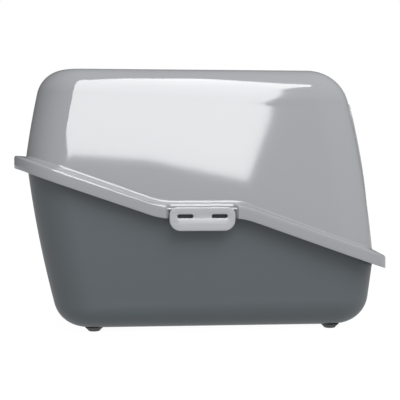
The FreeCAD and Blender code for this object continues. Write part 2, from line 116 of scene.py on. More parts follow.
def finish_mesh(piece, sharp_angle=40):
    """Point every face outwards and shade smoothly, except across edges sharper than the angle."""
    mesh = piece.data
    work = bmesh.new()
    work.from_mesh(mesh)
    bmesh.ops.remove_doubles(work, verts=work.verts, dist=0.00001)
    bmesh.ops.recalc_face_normals(work, faces=work.faces)
    work.to_mesh(mesh)
    work.free()
    mesh.shade_smooth()
    mesh.set_sharp_from_angle(angle=radians(sharp_angle))
    return piece


def stack(name, rings):
    """A closed piece from rings of equal length, flat at both ends."""
    size = len(rings[0])
    vertices = [point for ring in rings for point in ring]
    faces = ring_faces(len(rings), size)
    faces.append(tuple(range(size - 1, -1, -1)))
    last = (len(rings) - 1) * size
    faces.append(tuple(range(last, last + size)))
    return make_object(name, vertices, faces)


def combine(target, tool, operation):
    """Boolean of two closed meshes; the tool is used up."""
    modifier = target.modifiers.new("cut", "BOOLEAN")
    modifier.operation = operation
    modifier.solver = "EXACT"
    modifier.object = tool
    bpy.context.view_layer.update()
    graph = bpy.context.evaluated_depsgraph_get()
    result = bpy.data.meshes.new_from_object(target.evaluated_get(graph))
    target.modifiers.remove(modifier)
    target.data = result
    bpy.data.objects.remove(tool)
    return target


# %% [markdown]
# ## The form of hood and tray
#
# Hood and tray are both tubs with four gently curved walls. At each height a tub is a rounded
# rectangle, so it is enough to know how far each wall stands from the middle. The rim between them
# is one line seen from the side: level at the back, falling, level at the clips, and falling again.

# %% Sizes of the tubs and of the rim
half_length = (cad_bounds[1][0] - cad_bounds[0][0]) / 2
half_width = 200 * mm
top_back_z, top_front_z = 392.3 * mm, 393.9 * mm
rim_back_z, rim_clip_z, rim_front_z = 263.2 * mm, 190.8 * mm, 109.6 * mm
rim_back_level = 4 * mm
clip_x = -6.7 * mm
clip_level_half = 59 * mm
rim_bend = 100 * mm
flange_corner = 80 * mm
hood_corner, tray_corner = 68 * mm, 62 * mm
hood_edge = (46 * mm, 65 * mm)
tray_edge = (48 * mm, 49 * mm)
base_z = 6 * mm
wall_thickness = 2.5 * mm


class Wall:
    """Distance of a wall from the middle of the box at each height: a gentle curve."""

    def __init__(self, distance, height, lean, curl):
        self.distance, self.height, self.lean, self.curl = distance, height, lean, curl

    def at(self, z):
        rise = z - self.height
        return self.distance + self.lean * rise + self.curl * rise * abs(rise)

    def slope(self, z):
        return self.lean + 2 * self.curl * abs(z - self.height)


hood_walls = (Wall(half_length - 15.9 * mm, rim_back_z, -0.122, -0.424),
              Wall(half_length - 21.3 * mm, rim_front_z, -0.052, -0.336),
              Wall(half_width - 18 * mm, rim_clip_z, -0.16, 0))
tray_walls = (Wall(half_length - 17.6 * mm, rim_back_z, 0.1025, 0.33),
              Wall(half_length - 17.3 * mm, rim_front_z, 0.114, 0.03),
              Wall(half_width - 18 * mm, rim_clip_z, 0.064, 0))
front_slope = (rim_clip_z - rim_front_z) / (half_length - clip_x - clip_level_half)
back_slope = (rim_back_z - rim_clip_z) / (half_length - rim_back_level - (clip_level_half - clip_x))


def rim(x):
    """Height of the ledge on the rim at x, with soft bends between its straight stretches."""
    bends = ((-half_length + rim_back_level, 0, -back_slope), (clip_x - clip_level_half, -back_slope, 0),
             (clip_x + clip_level_half, 0, -front_slope))
    z = rim_back_z
    for place, slope_before, slope_after in bends:
        turn = slope_after - slope_before
        reach = rim_bend * abs(tan((atan(slope_after) - atan(slope_before)) / 2))
        into = min(max(x - (place - reach), 0), 2 * reach)
        z += turn * into * into / (4 * reach) + turn * max(x - (place + reach), 0)
    return z


print("rim at the ends:", round(rim(-half_length), 4), round(rim(half_length), 4))

# %% [markdown]
# ## Walking round a tub
#
# Every ring of a tub is walked through the same stations: along the front, round a corner, along a
# side, and so on. The stations on the sides stand at fixed places near the clips, where the rim bends
# and the notches are, so that each edge there has a row of points of its own.

# %% Stations round a tub
corner_steps = 18
end_steps = 24
side_steps = 22
notch_half_outer = 52.2 * mm
notch_half_inner = 45.8 * mm
notch_depth = 9 * mm
fixed_half = 92 * mm
edge_softness = 0.8 * mm

near_notch = [notch_half_outer + edge_softness, notch_half_outer, notch_half_outer - edge_softness,
              (notch_half_outer + notch_half_inner) / 2, notch_half_inner + edge_softness,
              notch_half_inner, notch_half_inner - edge_softness, notch_half_inner - 2 * edge_softness]
before_notch = [fixed_half - step * 3 * mm for step in range(13)]
behind_clip = [42 * mm - step * 6 * mm for step in range(8)]
half_places = before_notch + near_notch + behind_clip
fixed_places = [clip_x + place for place in half_places]
fixed_places += [clip_x - place for place in reversed(half_places)]

stations = []
for step in range(end_steps):
    stations.append(("front", -1 + 2 * step / end_steps))
for side in (1, -1):
    if side == 1:
        stations += [("corner_front", 1, step / corner_steps) for step in range(corner_steps)]
        stations += [("ahead", 1, step / side_steps) for step in range(side_steps)]
        stations += [("fixed", 1, place) for place in fixed_places]
        stations += [("behind", 1, (step + 1) / side_steps) for step in range(side_steps)]
        stations += [("corner_back", 1, (step + 1) / corner_steps) for step in range(corner_steps)]
        stations += [("back", 1 - 2 * (step + 1) / end_steps) for step in range(end_steps)]
    else:
        stations += [("corner_back", -1, 1 - (step + 1) / corner_steps) for step in range(corner_steps)]
        stations += [("behind", -1, 1 - (step + 1) / side_steps) for step in range(side_steps)]
        stations += [("fixed", -1, place) for place in reversed(fixed_places)]
        stations += [("ahead", -1, 1 - (step + 1) / side_steps) for step in range(side_steps)]
        stations += [("corner_front", -1, 1 - (step + 1) / corner_steps) for step in range(corner_steps - 1)]
print("stations round a ring:", len(stations))


def plan_point(station, outline):
    """Where a station lies on an outline, and which way is out: x, y, normal x, normal y."""
    back_x, front_x, back_y, front_y, back_round, front_round = outline
    kind = station[0]
    if kind == "front":
        return front_x, station[1] * (front_y - front_round), 1, 0
    if kind == "back":
        return -back_x, station[1] * (back_y - back_round), -1, 0
    side = station[1]
    if kind == "corner_front":
        angle = station[2] * pi / 2
        return (front_x - front_round + front_round * cos(angle),
                side * (front_y - front_round + front_round * sin(angle)), cos(angle), side * sin(angle))
    if kind == "corner_back":
        angle = station[2] * pi / 2
        return (-back_x + back_round - back_round * sin(angle),
                side * (back_y - back_round + back_round * cos(angle)), -sin(angle), side * cos(angle))
    front_end, back_end = front_x - front_round, -back_x + back_round
    if kind == "ahead":
        x = front_end + station[2] * (fixed_places[0] - front_end)
    elif kind == "behind":
        x = fixed_places[-1] + station[2] * (back_end - fixed_places[-1])
    else:
        x = station[2]
    share = (x - back_end) / (front_end - back_end)
    return x, side * (back_y + share * (front_y - back_y)), 0, side


def wall_outline(walls, corner, z, inset):
    """The tub's outline at one height, set in by inset: four distances and two corner radii."""
    back, front, side = walls
    return (back.at(z) - inset, front.at(z) - inset, side.at(z) - inset, side.at(z) - inset,
            corner - inset, corner - inset)


def edge_start(wall, plane_z, radius, up):
    """Height and lean where a rounded edge leaves the wall."""
    centre_z = plane_z - up * radius
    z = centre_z
    for _ in range(8):
        lean = atan(abs(wall.slope(z)))
        z = centre_z + up * radius * sin(lean)
    return z, lean


def edge_point(wall, plane_z, radius, up, turn, inset):
    """Distance and height on the rounded edge: turn is 0 at the wall and 1 at the flat."""
    start_z, lean = edge_start(wall, plane_z, radius, up)
    angle = lean + turn * (pi / 2 - lean)
    distance = wall.at(start_z) - radius * cos(lean) + (radius - inset) * cos(angle)
    return distance, plane_z - up * radius + up * (radius - inset) * sin(angle)


def edge_ring(walls, corner, planes, radii, up, turn, inset):
    """One ring of the rounded edge between the walls and the flat top or base."""
    back, front, side = walls
    back_x, back_z = edge_point(back, planes[0], radii[0], up, turn, inset)
    front_x, front_z = edge_point(front, planes[1], radii[1], up, turn, inset)
    back_y = edge_point(side, planes[0], radii[0], up, turn, inset)[0]
    front_y = edge_point(side, planes[1], radii[1], up, turn, inset)[0]
    back_round = corner + back_x - back.at(edge_start(back, planes[0], radii[0], up)[0])
    front_round = corner + front_x - front.at(edge_start(front, planes[1], radii[1], up)[0])
    outline = (back_x, front_x, back_y, front_y, back_round, front_round)
    low_x, high_x = -back_x + back_round, front_x - front_round
    ring = []
    for station in stations:
        x, y = plan_point(station, outline)[:2]
        at_wall = min(max((x - low_x) / (high_x - low_x), 0.0), 1.0)
        at_flat = (x + back_x) / (front_x + back_x)
        ring.append((x, y, back_z + (front_z - back_z) * (at_wall + turn * (at_flat - at_wall))))
    return ring


def wall_point(walls, corner, station, height_at, inset, spread=0.0):
    """The wall's point at this station whose height is height_at(x), moved out by spread."""
    z = height_at(0)
    for _ in range(12):
        x, y, out_x, out_y = plan_point(station, wall_outline(walls, corner, z, inset))
        z = height_at(x)
    return x + spread * out_x, y + spread * out_y, z


def wall_rings(walls, corner, low_ring, high_ring, steps, inset):
    """Rings between two rings, on the walls, evenly spaced in height at each station."""
    rings = []
    for step in range(1, steps):
        share = step / steps
        ring = []
        for station, low, high in zip(stations, low_ring, high_ring):
            z = low[2] + share * (high[2] - low[2])
            x, y = plan_point(station, wall_outline(walls, corner, z, inset))[:2]
            ring.append((x, y, z))
        rings.append(ring)
    return rings


def notch(station, x):
    """How far the flange steps in for a clip at this place."""
    if station[0] != "fixed":
        return 0.0
    place = abs(x - clip_x)
    ramp = (notch_half_outer - place) / (notch_half_outer - notch_half_inner)
    return notch_depth * min(max(ramp, 0.0), 1.0)


def flange_outline(inset):
    """The flange's outline, set in by inset: four distances and two corner radii."""
    size = half_length - inset, half_length - inset, half_width - inset, half_width - inset
    return size + (flange_corner - inset, flange_corner - inset)


def flange_ring(inset, drop, notch_drop=None):
    """A ring on the flange's outline, set in by inset and lowered by drop from the ledge."""
    ring = []
    for station in stations:
        x, y, out_x, out_y = plan_point(station, flange_outline(inset))
        step_in = notch(station, x)
        y -= step_in * out_y
        inside = abs(x - clip_x) < notch_half_inner - 1.2 * edge_softness and step_in > 0.99 * notch_depth
        lowered = notch_drop if notch_drop is not None and inside else drop
        ring.append((x, y, rim(x) - lowered))
    return ring


# %% [markdown]
# ## Hood shell
#
# The hood is a thin wall of plastic, so its mesh is one closed skin with an outside and an inside. The
# rings start at the top, run down the outside, over the ledge and the skirt, round the skirt's lower
# edge and back up the inside. Small quarter circles join wall, ledge and skirt. Three rings close
# together above the ledge keep the wall's shading straight down to its foot.

# %% Rings of the hood
ledge_thickness = 3 * mm
skirt_depth = 18.8 * mm
skirt_wall = 3 * mm
notch_floor_drop = 9 * mm
crown_steps, inner_crown_steps = 20, 10
wall_steps, inner_wall_steps = 26, 14
hood_planes = (top_back_z, top_front_z)


def crown_rings(inset, steps):
    """Rings of the hood's rounded top edge, from the flat top down to the walls."""
    return [edge_ring(hood_walls, hood_corner, hood_planes, hood_edge, 1, 1 - step / steps, inset)
            for step in range(steps + 1)]


def ledge_fall(out_y):
    """How steeply the ledge falls outwards: more on the sides than at the ends."""
    return 0.08 + 0.11 * abs(out_y)


def ledge_rise(station, x, y):
    """How far the sloping ledge lies above the flange's edge at this place."""
    edge_x, edge_y, out_x, out_y = plan_point(station, flange_outline(0))
    width = max((edge_x - x) * out_x + (edge_y - y) * out_y, 0.0)
    return ledge_fall(out_y) * width


def on_ledge(ring):
    """Raise a ring's points onto the ledge, each by its own distance from the flange's edge."""
    return [(x, y, z + ledge_rise(station, x, y)) for station, (x, y, z) in zip(stations, ring)]


def foot_ring(rise, spread, inset=0.0, sloping=True):
    """Ring on the hood's wall at a rise above the ledge, moved outwards by spread."""
    ring = []
    for station in stations:
        raised = 0.0
        for _ in range(3 if sloping else 1):
            x, y, z = wall_point(hood_walls, hood_corner, station,
                                 lambda x: rim(x) + rise + raised, inset, spread)
            raised = ledge_rise(station, x, y)
        ring.append((x, y, z))
    return ring


foot_radius = 2.6 * mm
ledge_edge = 3.2 * mm
skirt_edge = 1.0 * mm
quarter = [pi / 2 * step / 5 for step in range(6)]

outside = crown_rings(0, crown_steps)
wall_foot = [foot_ring(foot_radius + above, 0) for above in (2.4 * mm, 0.8 * mm, 0.25 * mm)]
outside += wall_rings(hood_walls, hood_corner, wall_foot[0], outside[-1], wall_steps, 0)[::-1]
outside += wall_foot
outside += [foot_ring(foot_radius * (1 - sin(angle)), foot_radius * (1 - cos(angle)))
            for angle in quarter]
outside += [on_ledge(flange_ring(ledge_edge * (1 - sin(angle)), ledge_edge * (1 - cos(angle))))
            for angle in quarter]
for share in (0.33, 0.66):
    outside.append(flange_ring(0, ledge_edge + share * (skirt_depth - ledge_edge),
                               ledge_thickness + share * notch_floor_drop))
outside += [flange_ring(skirt_edge * (1 - cos(angle)), skirt_depth - skirt_edge * (1 - sin(angle)),
                        notch_floor_drop - skirt_edge * (1 - sin(angle))) for angle in quarter[::2]]
inside = [flange_ring(skirt_wall - skirt_edge * (1 - cos(angle)), skirt_depth - skirt_edge * (1 - sin(angle)),
                      notch_floor_drop - skirt_edge * (1 - sin(angle))) for angle in quarter[::-2]]
inside.append(flange_ring(skirt_wall, ledge_thickness))
inner_foot = foot_ring(-ledge_thickness, 0, wall_thickness, sloping=False)
inner_crown = crown_rings(wall_thickness, inner_crown_steps)[::-1]
inside.append(inner_foot)
inside += wall_rings(hood_walls, hood_corner, inner_foot, inner_crown[0], inner_wall_steps, wall_thickness)
inside += inner_crown
hood = stack("hood_shell", outside + inside)
print("hood rings:", len(outside), "+", len(inside), "faces:", len(hood.data.polygons))
finish_mesh(hood, 50)

# %% [markdown]
# ## Pockets in the top
#
# The carry handle and the filter cover lie in pockets that are part of the hood's moulding. Each pocket
# is a small stack of outlines in the top's own frame: a liner is joined to the shell, and then the
# hollow, whose rim flares like a moulded edge, is cut out of both.

# %% The top's own frame
flat_edge = edge_ring(hood_walls, hood_corner, hood_planes, hood_edge, 1, 1, 0)
top_back_x = min(point[0] for point in flat_edge)
top_front_x = max(point[0] for point in flat_edge)
top_slope = (top_back_z - top_front_z) / (top_front_x - top_back_x)
top_middle_z = top_back_z + top_slope * top_back_x
top_turn = atan(top_slope)
cut_above = 4 * mm                  # how far a cutting shape reaches above the top


def on_top(x, y, z):
    """From the top's frame, where z is 0 on the flat, to the box's frame."""
    return (x * cos(top_turn) + z * sin(top_turn), y, top_middle_z - x * sin(top_turn) + z * cos(top_turn))


def rounded_outline(half_x, half_y, corner, steps=8):
    """Points round a rounded rectangle about the origin."""
    points = []
    corner = max(corner, 0.05 * mm)
    for quadrant, (sign_x, sign_y) in enumerate(((1, 1), (-1, 1), (-1, -1), (1, -1))):
        for step in range(steps + 1):
            angle = (quadrant + step / steps) * pi / 2
            points.append((sign_x * (half_x - corner) + corner * cos(angle),
                           sign_y * (half_y - corner) + corner * sin(angle)))
    return points


def top_stack(name, middle, half_x, half_y, corner, levels):
    """A block in the top's frame; each level is its height and how much wider it is."""
    rings = []
    for height, wider in levels:
        outline = rounded_outline(half_x + wider, half_y + wider, corner + wider)
        rings.append([on_top(middle[0] + x, middle[1] + y, height) for x, y in outline])
    return finish_mesh(stack(name, rings))


def flared(depth, rim_radius, floor_radius):
    """Levels of a hollow: a flared rim, upright walls and a rounded floor."""
    levels = [(cut_above, rim_radius)]
    levels += [(-rim_radius * sin(angle), rim_radius * (1 - cos(pi / 2 - angle))) for angle in quarter]
    levels += [(-depth + floor_radius * (1 - sin(angle)), -floor_radius * (1 - cos(angle)))
               for angle in quarter]
    return levels


# %% Handle pocket, filter pocket, rebate for the cover, finger scoop
pocket_wall = 2.5 * mm
handle_x, handle_pocket_depth = 10 * mm, 32 * mm
filter_x, filter_pocket_depth = -112 * mm, 16 * mm
liners = {
    "handle_liner": ((handle_x, 0), 51.5 * mm, 73.5 * mm, 12 * mm, handle_pocket_depth + pocket_wall),
    "filter_liner": ((-110 * mm, 0), 65.5 * mm, 66.5 * mm, 8 * mm, filter_pocket_depth + pocket_wall),
}
hollows = {
    "handle_hollow": ((handle_x, 0), 49 * mm, 68 * mm, 9 * mm, handle_pocket_depth, 1.2 * mm, 3 * mm),
    "filter_hollow": ((filter_x, 0), 52 * mm, 55 * mm, 6 * mm, filter_pocket_depth, 0.4 * mm, 2 * mm),
    "cover_rebate": ((filter_x, 0), 58.5 * mm, 61.5 * mm, 1 * mm, 3.7 * mm, 0.5 * mm, 0.3 * mm),
    "finger_scoop": ((-55 * mm, 0), 8 * mm, 13 * mm, 6 * mm, 9 * mm, 1.0 * mm, 3.5 * mm),
}
for name, (middle, half_x, half_y, corner, depth) in liners.items():
    combine(hood, top_stack(name, middle, half_x, half_y, corner,
                            [(-1.2 * mm, 0), (-depth + 1.5 * mm, 0), (-depth, -1.5 * mm)]), "UNION")
for name, (middle, half_x, half_y, corner, depth, rim_radius, floor_radius) in hollows.items():
    combine(hood, top_stack(name, middle, half_x, half_y, corner, flared(depth, rim_radius, floor_radius)),
            "DIFFERENCE")
post_levels = [(-handle_pocket_depth - 0.5 * mm, 0), (-12.8 * mm, 0), (-11.8 * mm, -1 * mm)]
for side in (-1, 1):
    post = top_stack("rest_post", (handle_x, side * 58.5 * mm), 4 * mm, 4 * mm, 1.5 * mm, post_levels)
    combine(hood, post, "UNION")
print("hood with pockets:", len(hood.data.polygons), "faces")

# %% [markdown]
# ## Vent slots
#
# Air leaves through a row of equal slots in the floor of the filter pocket. A row is what Geometry
# Nodes is for: one slot shape is set on the points of a line, and the result cuts the hood once.

# %% A row of copies with Geometry Nodes
def node_tree(name, inputs):
    """A geometry node tree with its inputs, and a group input and output in place."""
    tree = bpy.data.node_groups.new(name, "GeometryNodeTree")
    tree.interface.new_socket("Geometry", in_out="INPUT", socket_type="NodeSocketGeometry")
    for label, kind, default in inputs:
        socket = tree.interface.new_socket(label, in_out="INPUT", socket_type=kind)
        if default is not None:
            socket.default_value = default
    tree.interface.new_socket("Geometry", in_out="OUTPUT", socket_type="NodeSocketGeometry")
    return tree, tree.nodes.new("NodeGroupInput"), tree.nodes.new("NodeGroupOutput")


def build_row_tree():
    """Copies of the incoming shape on a line, or on a grid when there is more than one row."""
    inputs = [("Count X", "NodeSocketInt", 7), ("Count Y", "NodeSocketInt", 1),
              ("Length X", "NodeSocketFloat", 0.08), ("Length Y", "NodeSocketFloat", 0.0),
              ("Material", "NodeSocketMaterial", None)]
    tree, entry, leave = node_tree("row_of_copies", inputs)
    grid = tree.nodes.new("GeometryNodeMeshGrid")
    points = tree.nodes.new("GeometryNodeMeshToPoints")
    copies = tree.nodes.new("GeometryNodeInstanceOnPoints")
    real = tree.nodes.new("GeometryNodeRealizeInstances")
    paint = tree.nodes.new("GeometryNodeSetMaterial")
    link = tree.links.new
    link(entry.outputs["Count X"], grid.inputs["Vertices X"])
    link(entry.outputs["Count Y"], grid.inputs["Vertices Y"])
    link(entry.outputs["Length X"], grid.inputs["Size X"])
    link(entry.outputs["Length Y"], grid.inputs["Size Y"])
    link(grid.outputs["Mesh"], points.inputs["Mesh"])
    link(points.outputs["Points"], copies.inputs["Points"])
    link(entry.outputs["Geometry"], copies.inputs["Instance"])
    link(copies.outputs["Instances"], real.inputs["Geometry"])
    link(real.outputs["Geometry"], paint.inputs["Geometry"])
    link(entry.outputs["Material"], paint.inputs["Material"])
    link(paint.outputs["Geometry"], leave.inputs["Geometry"])
    return tree


row_tree = build_row_tree()


def copies_of(piece, settings):
    """Run the row tree on a piece, with inputs by label, and keep the result as its plain mesh."""
    modifier = piece.modifiers.new("row", "NODES")
    modifier.node_group = row_tree
    labels = {item.name: item.identifier for item in row_tree.interface.items_tree if item.in_out == "INPUT"}
    for label, value in settings.items():
        modifier[labels[label]] = value
    bpy.context.view_layer.update()
    graph = bpy.context.evaluated_depsgraph_get()
    result = bpy.data.meshes.new_from_object(piece.evaluated_get(graph))
    piece.modifiers.remove(modifier)
    piece.data = result
    return piece


# %% Cut the slots
vent_count = 7
vent_half_width, vent_half_length, vent_corner = 2 * mm, 42 * mm, 1.9 * mm
vent_spread = (vent_count - 1) * 92 / vent_count * mm
vent_levels = ((-9 * mm, 0), (-2 * mm, 0), (1.6 * mm, 0), (2.6 * mm, 0.6 * mm), (9 * mm, 0.6 * mm))
slot_rings = []
for height, wider in vent_levels:
    outline = rounded_outline(vent_half_width + wider, vent_half_length + wider, vent_corner, 5)
    slot_rings.append([(x, y, height) for x, y in outline])
slots = finish_mesh(stack("vent_slots", slot_rings))
copies_of(slots, {"Count X": vent_count, "Count Y": 1, "Length X": vent_spread, "Length Y": 0.0})
floor_middle = on_top(filter_x, 0, -filter_pocket_depth - 2.2 * mm)
slots.data.transform(Matrix.Translation(floor_middle) @ Matrix.Rotation(top_turn, 4, "Y"))
combine(hood, slots, "DIFFERENCE")
print("hood with vents:", len(hood.data.polygons), "faces")

# %% [markdown]
# ## Doorway
#
# The doorway is cut straight through the front wall. Its sharp edge is hidden later by the bezel of
# the door frame, just as on the real hood.

# %% Cut the doorway
door_half_y, door_low, door_high, door_corner = 106 * mm, 148 * mm, 334 * mm, 14 * mm
cut_from_x, cut_to_x = 193 * mm, 300 * mm
door_middle_z, door_half_z = (door_low + door_high) / 2, (door_high - door_low) / 2
way = rounded_outline(door_half_y, door_half_z, door_corner)
cut_ends = [[(x, y, door_middle_z + z) for y, z in way] for x in (cut_from_x, cut_to_x)]
combine(hood, finish_mesh(stack("doorway_cutter", cut_ends)), "DIFFERENCE")
finish_mesh(hood, 38)
print("finished hood:", len(hood.data.polygons), "faces")

# %% [markdown]
# ## Tray shell
#
# The tray is made in the same way, the other way up: from the middle of the base, up the outside to
# the rim, out under the rim, round its turned-down lip, and back down the inside.

# %% Rings of the tray
seat_gap = 0.3 * mm
fit_gap = 0.5 * mm
rim_drop = ledge_thickness + seat_gap
tray_planes = (base_z, base_z)


def base_rings(inset, steps):
    """Rings of the rounded lower edge, from the flat base up to the walls."""
    return [edge_ring(tray_walls, tray_corner, tray_planes, tray_edge, -1, 1 - step / steps, inset)
            for step in range(steps + 1)]


def tray_ring(drop, inset=0.0, spread=0.0):
    """Ring on the tray's wall at a drop below the rim, moved outwards by spread."""
    return [wall_point(tray_walls, tray_corner, station, lambda x: rim(x) - drop, inset, spread)
            for station in stations]


rim_inset = skirt_wall + fit_gap
lip_inset = rim_inset + wall_thickness
under_rim_drop = rim_drop + wall_thickness
rim_softness = 0.8 * mm
rings = base_rings(0, 14)
high = tray_ring(under_rim_drop + 2 * mm)
rings += wall_rings(tray_walls, tray_corner, rings[-1], high, wall_steps, 0) + [high]
rings.append(tray_ring(under_rim_drop, 0, 1.5 * mm))
rings.append(flange_ring(lip_inset, under_rim_drop))
rings.append(flange_ring(lip_inset, skirt_depth))
rings.append(flange_ring(rim_inset, skirt_depth))
rings.append(flange_ring(rim_inset, rim_drop + rim_softness))
rings.append(flange_ring(rim_inset + rim_softness, rim_drop))
rings.append(tray_ring(rim_drop, wall_thickness, 1.0 * mm))
inner_high = tray_ring(rim_drop + 1.0 * mm, wall_thickness)
inner_base = base_rings(wall_thickness, 10)[::-1]
rings.append(inner_high)
rings += wall_rings(tray_walls, tray_corner, inner_high, inner_base[0], 20, wall_thickness)
rings += inner_base
tray = stack("tray_shell", rings)
finish_mesh(tray, 50)
print("tray rings:", len(rings), "faces:", len(tray.data.polygons))

# %% [markdown]
# ## Side clips
#
# A clip is a flat moulded plate with a soft outer edge and two slots for the fingertips. It hangs on
# a thin barrel at its top, and two hooks behind the slots catch under the tray's lip. The right clip
# is the left one turned over to the other side.

# %% Clip plate with its slots
clip_half_width, clip_height, clip_thickness = 47.2 * mm, 34 * mm, 3.6 * mm
clip_low_x, clip_high_x = clip_x - clip_half_width, clip_x + clip_half_width
clip_top_z = rim_clip_z - 2.4 * mm
clip_low_z = clip_top_z - clip_height
clip_outer_y = -half_width - 1.0 * mm
clip_top_corner, clip_low_corner = 11 * mm, 16 * mm
clip_face_radius, clip_back_radius = 1.5 * mm, 0.4 * mm
clip_slot_x = [clip_x - 24.6 * mm, clip_x + 24.6 * mm]
clip_slot_z = rim_clip_z - 15.3 * mm
clip_slot_half_length, clip_slot_half_height, clip_slot_corner = 11.4 * mm, 2.8 * mm, 2.75 * mm
clip_slot_levels = ((-3 * mm, 0.9 * mm), (0, 0.9 * mm), (0.25 * mm, 0.35 * mm), (0.8 * mm, 0), (9 * mm, 0))


def clip_outline(wider, steps=12):
    """The plate's outline seen from the side, with its smaller radius at the top."""
    points = []
    for quadrant, (sign_x, sign_z) in enumerate(((1, 1), (-1, 1), (-1, -1), (1, -1))):
        corner = (clip_top_corner if sign_z > 0 else clip_low_corner) + wider
        centre_x = (clip_high_x if sign_x > 0 else clip_low_x) + sign_x * (wider - corner)
        centre_z = (clip_top_z if sign_z > 0 else clip_low_z) + sign_z * (wider - corner)
        for step in range(steps + 1):
            angle = (quadrant + step / steps) * pi / 2
            points.append((centre_x + corner * cos(angle), centre_z + corner * sin(angle)))
    return points


def soft_plate(face_y, thickness, face_radius, back_radius):
    """Levels across a plate: where each outline lies and how much wider it is."""
    levels = [(face_y, -2.2 * face_radius)]
    levels += [(face_y + face_radius * (1 - cos(angle)), face_radius * (sin(angle) - 1)) for angle in quarter]
    levels += [(face_y + thickness - back_radius, 0), (face_y + thickness, -back_radius)]
    return levels


plate_rings = []
for y, wider in soft_plate(clip_outer_y, clip_thickness, clip_face_radius, clip_back_radius):
    plate_rings.append([(x, y, z) for x, z in clip_outline(wider)])
clip_left = finish_mesh(stack("clip_plate_left", plate_rings))
for slot_x in clip_slot_x:
    rings = []
    for y, wider in clip_slot_levels:
        outline = rounded_outline(clip_slot_half_length + wider, clip_slot_half_height + wider,
                                  clip_slot_corner + wider)
        rings.append([(slot_x + x, clip_outer_y + y, clip_slot_z + z) for x, z in outline])
    combine(clip_left, finish_mesh(stack("clip_slot", rings)), "DIFFERENCE")
print("clip plate:", len(clip_left.data.polygons), "faces")

# %% Hooks, barrel and pins
hook_half_width, hook_half_thickness, hook_corner = 10 * mm, 1.5 * mm, 0.9 * mm
hook_z = rim_clip_z - 20.6 * mm
hook_root_y = clip_outer_y + clip_thickness - clip_back_radius
hook_tip_y = -half_width + notch_depth + rim_inset + 1.6 * mm
hook_softness = 0.8 * mm
hook_levels = ((hook_root_y, 0), (hook_tip_y - hook_softness, 0), (hook_tip_y, -hook_softness))
for slot_x in clip_slot_x:
    rings = []
    for y, wider in hook_levels:
        outline = rounded_outline(hook_half_width + wider, hook_half_thickness + wider,
                                  hook_corner + wider, 3)
        rings.append([(slot_x + x, y, hook_z + z) for x, z in outline])
    combine(clip_left, finish_mesh(stack("clip_hook", rings)), "UNION")


def rod(name, half_length_x, radius, sides=20, softness=0.4 * mm):
    """A round rod along the clip's pivot, with softly rounded ends."""
    rings = []
    turns = [2 * pi * k / sides for k in range(sides)]
    for x, r in ((-half_length_x, radius - softness), (softness - half_length_x, radius),
                 (half_length_x - softness, radius), (half_length_x, radius - softness)):
        rings.append([(clip_x + x, clip_pin_y + r * cos(turn), clip_pin_z + r * sin(turn)) for turn in turns])
    return finish_mesh(stack(name, rings))


clip_pin_y, clip_pin_z = -195.4 * mm, rim_clip_z - 5 * mm
barrel = rod("clip_barrel", clip_half_width - 11 * mm, 2.8 * mm)
pins = rod("clip_pins", clip_half_width + 4.1 * mm, 1.6 * mm)
combine(clip_left, barrel, "UNION")
combine(clip_left, pins, "UNION")
finish_mesh(clip_left, 35)


def turned_over(piece, name):
    """A copy on the other side of the box, with its faces pointing outwards again."""
    copy = bpy.data.objects.new(name, piece.data.copy())
    scene.collection.objects.link(copy)
    copy.data.transform(Matrix.Diagonal((1, -1, 1, 1)))
    return finish_mesh(copy, 35)


clip_right = turned_over(clip_left, "clip_plate_right")
print("clips:", len(clip_left.data.polygons), "faces each")

# %% [markdown]
# ## Feet
#
# Four short rubber feet carry the tray. They are equal and stand on a rectangle, so one turned foot
# is copied by the same row tree onto a grid of two by two. Its profile runs up from the floor.

# %% One foot, four times
foot_sides = 40
foot_profile = ((0.0, 7.3), (0.25, 8.2), (0.8, 8.9), (1.6, 9.3), (5.2, 13.2), (5.7, 13.8), (6.4, 14.0))
foot_rings = []
turns = [2 * pi * k / foot_sides for k in range(foot_sides)]
for height, radius in foot_profile:
    foot_rings.append([(radius * mm * cos(turn), radius * mm * sin(turn), height * mm) for turn in turns])
feet = finish_mesh(stack("rubber_feet", foot_rings), 45)
foot_back_x, foot_front_x = -half_length + 116.5 * mm, half_length - 85.2 * mm
foot_y = half_width - 75 * mm
copies_of(feet, {"Count X": 2, "Count Y": 2, "Length X": foot_front_x - foot_back_x, "Length Y": 2 * foot_y})
feet.data.transform(Matrix.Translation(((foot_front_x + foot_back_x) / 2, 0, 0)))
feet.data.shade_smooth()
feet.data.set_sharp_from_angle(angle=radians(45))
print("feet:", len(feet.data.polygons), "faces")

# %% [markdown]
# ## Charcoal pad
#
# Under the filter cover lies a pad of charcoal felt. It is cut from a sheet, so its sides are nearly
# upright, but its face is crowned and its edges are pressed round. Each level is a height below the
# top of the hood, and how much wider the outline is there.

# %% Crowned pad
pad_x, pad_half_x, pad_half_y, pad_corner = -112.1 * mm, 50.2 * mm, 53.2 * mm, 8
pad_levels = [(-15.8, -7), (-15.7, -3), (-15.3, -1.2), (-14.6, -0.4), (-13.2, 0), (-10.4, 0), (-8.4, -0.4),
              (-7.4, -1.2), (-6.9, -3), (-6.5, -8), (-6.2, -18), (-6.1, -30), (-6.05, -42)]
pad_rings = []
for height, wider in pad_levels:
    outline = rounded_outline(pad_half_x + wider * mm, pad_half_y + wider * mm,
                              max(pad_corner + wider, 1.5) * mm, 10)
    pad_rings.append([on_top(pad_x + x, y, height * mm) for x, y in outline])
pad = finish_mesh(stack("charcoal_pad", pad_rings), 60)
print("pad:", len(pad.data.polygons), "faces")

# %% [markdown]
# ## Finishes
#
# All pieces but the pad are injection moulded, so they share two effects: a moulded surface, with
# faint clouds of colour, a fine grain and soft rubbing marks, and the paler rubbed edges that plastic
# gets in use. Each is a node group that is built once and placed in each material with its own values.

